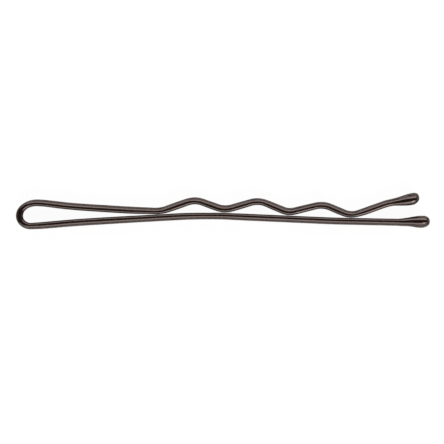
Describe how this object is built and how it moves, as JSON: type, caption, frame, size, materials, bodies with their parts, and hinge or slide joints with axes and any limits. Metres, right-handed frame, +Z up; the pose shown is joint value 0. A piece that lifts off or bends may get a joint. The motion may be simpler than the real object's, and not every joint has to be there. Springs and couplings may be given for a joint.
{
  "type": "bobby pin",
  "caption": "Hair grip of half-round spring wire folded at a bow, with a straight leg, a waved leg and a rounded resin ball tip on each end.",
  "frame": {"origin": "on the surface the pin lies on, under the middle of its outer box", "axes": "+X along the pin from the bow to the ball tips, +Y across it towards the crimped leg, +Z up, along the wide axis of the wire"},
  "size_m": [0.0508, 0.0046, 0.002],
  "materials": {
    "lacquered_wire": "dark brown gloss lacquer on spring steel",
    "tip_resin": "dark brown gloss resin drop"
  },
  "bodies": {
    "bow": {"spring_bow": "lacquered_wire", "straight_leg_root": "lacquered_wire"},
    "straight_middle": {"straight_leg_middle": "lacquered_wire"},
    "straight_end": {"straight_leg_end": "lacquered_wire", "straight_leg_ball_tip": "tip_resin"},
    "crimped_root": {"crimped_leg_shoulder": "lacquered_wire", "crimped_leg_root": "lacquered_wire"},
    "crimped_middle": {"crimped_leg_middle": "lacquered_wire"},
    "crimped_end": {"crimped_leg_end": "lacquered_wire", "crimped_leg_lip": "lacquered_wire", "crimped_leg_ball_tip": "tip_resin"}
  },
  "joints": [
    {"name": "opening", "type": "hinge", "parent": "bow", "child": "crimped_root", "pos_m": [-0.02448, 0.00053, 0.001], "axis": [0, 0, 1], "range_deg": [0, 7], "stiffness_Nm_per_rad": 0.8},
    {"name": "crimped_leg_bend_1", "type": "hinge", "parent": "crimped_root", "child": "crimped_middle", "pos_m": [-0.00569, 0.00072, 0.001], "axis": [0, 0, 1], "range_deg": [-0.2, 3.3]},
    {"name": "crimped_leg_bend_2", "type": "hinge", "parent": "crimped_middle", "child": "crimped_end", "pos_m": [0.00631, 0.00058, 0.001], "axis": [0, 0, 1], "range_deg": [-0.15, 1.9]},
    {"name": "straight_leg_bend_1", "type": "hinge", "parent": "bow", "child": "straight_middle", "pos_m": [-0.00763, -0.00079, 0.001], "axis": [0, 0, -1], "range_deg": [-0.2, 3.4]},
    {"name": "straight_leg_bend_2", "type": "hinge", "parent": "straight_middle", "child": "straight_end", "pos_m": [0.00633, -0.00087, 0.001], "axis": [0, 0, -1], "range_deg": [-0.15, 2.05]}
  ],
  "couplings": [
    {"joint": "crimped_leg_bend_1", "follows": "opening", "ratio": 0.44},
    {"joint": "crimped_leg_bend_2", "follows": "opening", "ratio": 0.25},
    {"joint": "straight_leg_bend_1", "follows": "opening", "ratio": 0.45},
    {"joint": "straight_leg_bend_2", "follows": "opening", "ratio": 0.27}
  ]
}
